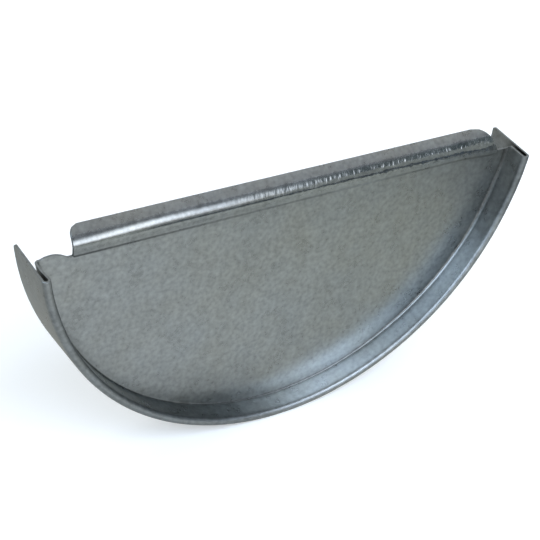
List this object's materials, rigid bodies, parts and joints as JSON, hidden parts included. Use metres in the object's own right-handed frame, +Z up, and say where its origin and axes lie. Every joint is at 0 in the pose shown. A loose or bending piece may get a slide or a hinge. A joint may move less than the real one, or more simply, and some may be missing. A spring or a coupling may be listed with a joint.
{
  "type": "gutter end cap",
  "caption": "Half-round end cap for a roof gutter: recessed flat panel, U-folded rim and outer flange that push over the gutter's end, and a bent-back lip along the top.",
  "frame": {"origin": "on the gutter's axis, level with the bottom of the rim's groove, where the gutter's end stops", "axes": "+Y along the gutter's axis, the way the gutter leaves the cap, +Z up, +X along the chord; the outside face looks towards -Y"},
  "size_m": [0.1273, 0.0137, 0.062],
  "materials": {
    "galvanised_sheet": "hot-dip galvanised, fine dull spangle, satin"
  },
  "bodies": {
    "root": {"end_cap": "galvanised_sheet"}
  },
  "joints": []
}
